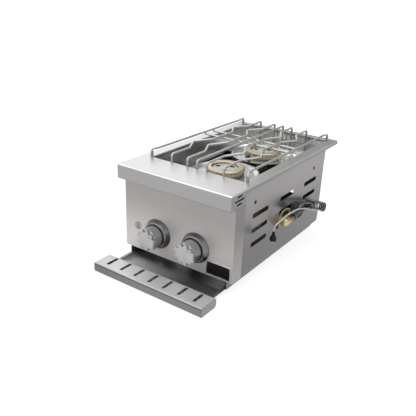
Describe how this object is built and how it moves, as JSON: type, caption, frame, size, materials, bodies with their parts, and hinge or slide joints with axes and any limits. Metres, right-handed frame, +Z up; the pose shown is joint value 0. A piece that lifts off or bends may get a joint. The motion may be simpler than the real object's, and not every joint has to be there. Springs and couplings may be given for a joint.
{
  "type": "built-in double side burner",
  "caption": "Built-in stainless side burner with brass burners in a well, a wire grate, push-and-turn knobs, a pull-out drip tray and a side gas outlet.",
  "frame": {"origin": "mid width, in the plane of the front panel's face, at the counter's top, which the deck's side skirts stand on", "axes": "+X to the right as seen from the front, +Y from the front panel to the rear, +Z up"},
  "size_m": [0.3962, 0.7002, 0.2941],
  "materials": {
    "brushed_stainless": "brushed",
    "plain_stainless": "plain sheet",
    "mirror_stainless": "bright sheet",
    "grate_steel": "satin wire",
    "bright_fastener": "bright",
    "cast_alloy": "cast",
    "burner_brass": "satin",
    "gas_pipe": "drawn tube",
    "ceramic": "glazed ceramic",
    "knob_chrome": "satin chrome",
    "black_rubber": "matt",
    "black_plastic": "gloss",
    "pale_plastic": "translucent sleeve",
    "white_jacket": "matt",
    "earth_jacket": "matt"
  },
  "bodies": {
    "frame": {"top_trim": "brushed_stainless", "front_panel": "brushed_stainless", "side_panel_left": "brushed_stainless", "side_panel_right": "brushed_stainless", "rear_panel": "brushed_stainless", "base_pan": "plain_stainless", "firebox": "brushed_stainless", "burner_supports": "plain_stainless", "dish_front": "mirror_stainless", "dish_rear": "mirror_stainless", "dish_screws": "bright_fastener", "burner_base_front": "cast_alloy", "burner_base_rear": "cast_alloy", "igniter_front": "ceramic", "igniter_rear": "ceramic", "gas_manifold": "gas_pipe", "valve_left": "burner_brass", "valve_right": "burner_brass", "gas_tube_left": "gas_pipe", "gas_tube_right": "gas_pipe", "bezel_left": "knob_chrome", "bezel_right": "knob_chrome", "seal_left": "black_rubber", "seal_right": "black_rubber", "nameplate": "black_plastic", "nameplate_frame": "knob_chrome", "tray_rail_left": "plain_stainless", "tray_rail_right": "plain_stainless", "inlet_elbow": "burner_brass", "inlet_nut": "knob_chrome", "inlet_seal": "black_rubber", "inlet_sleeve": "pale_plastic", "cable_grommet": "black_rubber", "cable_hank": "black_rubber", "hank_tie": "black_plastic", "earth_wire": "earth_jacket", "earth_terminal": "bright_fastener", "white_lead": "white_jacket", "lead_plug": "black_plastic"},
    "tray": {"tray_pan": "mirror_stainless", "tray_handle": "brushed_stainless"},
    "grate": {"grate_rods": "grate_steel", "grate_bars": "grate_steel", "grate_feet": "grate_steel"},
    "crown_front": {"burner_crown_front": "burner_brass"},
    "crown_rear": {"burner_crown_rear": "burner_brass"},
    "push_left": {"collar_left": "black_plastic"},
    "knob_left": {"knob_left": "knob_chrome", "stem_left": "bright_fastener"},
    "push_right": {"collar_right": "black_plastic"},
    "knob_right": {"knob_right": "knob_chrome", "stem_right": "bright_fastener"}
  },
  "joints": [
    {"name": "tray_slide", "type": "slide", "parent": "frame", "child": "tray", "axis": [0, 1, 0], "range_m": [-0.25, 0.0643]},
    {"name": "grate_lift", "type": "slide", "parent": "frame", "child": "grate", "axis": [0, 0, 1], "range_m": [0, 0.09]},
    {"name": "crown_front_lift", "type": "slide", "parent": "frame", "child": "crown_front", "axis": [0, 0, 1], "range_m": [0, 0.03]},
    {"name": "crown_rear_lift", "type": "slide", "parent": "frame", "child": "crown_rear", "axis": [0, 0, 1], "range_m": [0, 0.03]},
    {"name": "knob_left_push", "type": "slide", "parent": "frame", "child": "push_left", "axis": [0, 1, 0], "range_m": [0, 0.003], "stiffness_N_per_m": 1500, "springref_m": -0.002},
    {"name": "knob_left_turn", "type": "hinge", "parent": "push_left", "child": "knob_left", "pos_m": [-0.0615, -0.03, -0.1643], "axis": [0, -1, 0], "range_deg": [0, 220]},
    {"name": "knob_right_push", "type": "slide", "parent": "frame", "child": "push_right", "axis": [0, 1, 0], "range_m": [0, 0.003], "stiffness_N_per_m": 1500, "springref_m": -0.002},
    {"name": "knob_right_turn", "type": "hinge", "parent": "push_right", "child": "knob_right", "pos_m": [0.0615, -0.03, -0.1643], "axis": [0, -1, 0], "range_deg": [0, 220]}
  ]
}
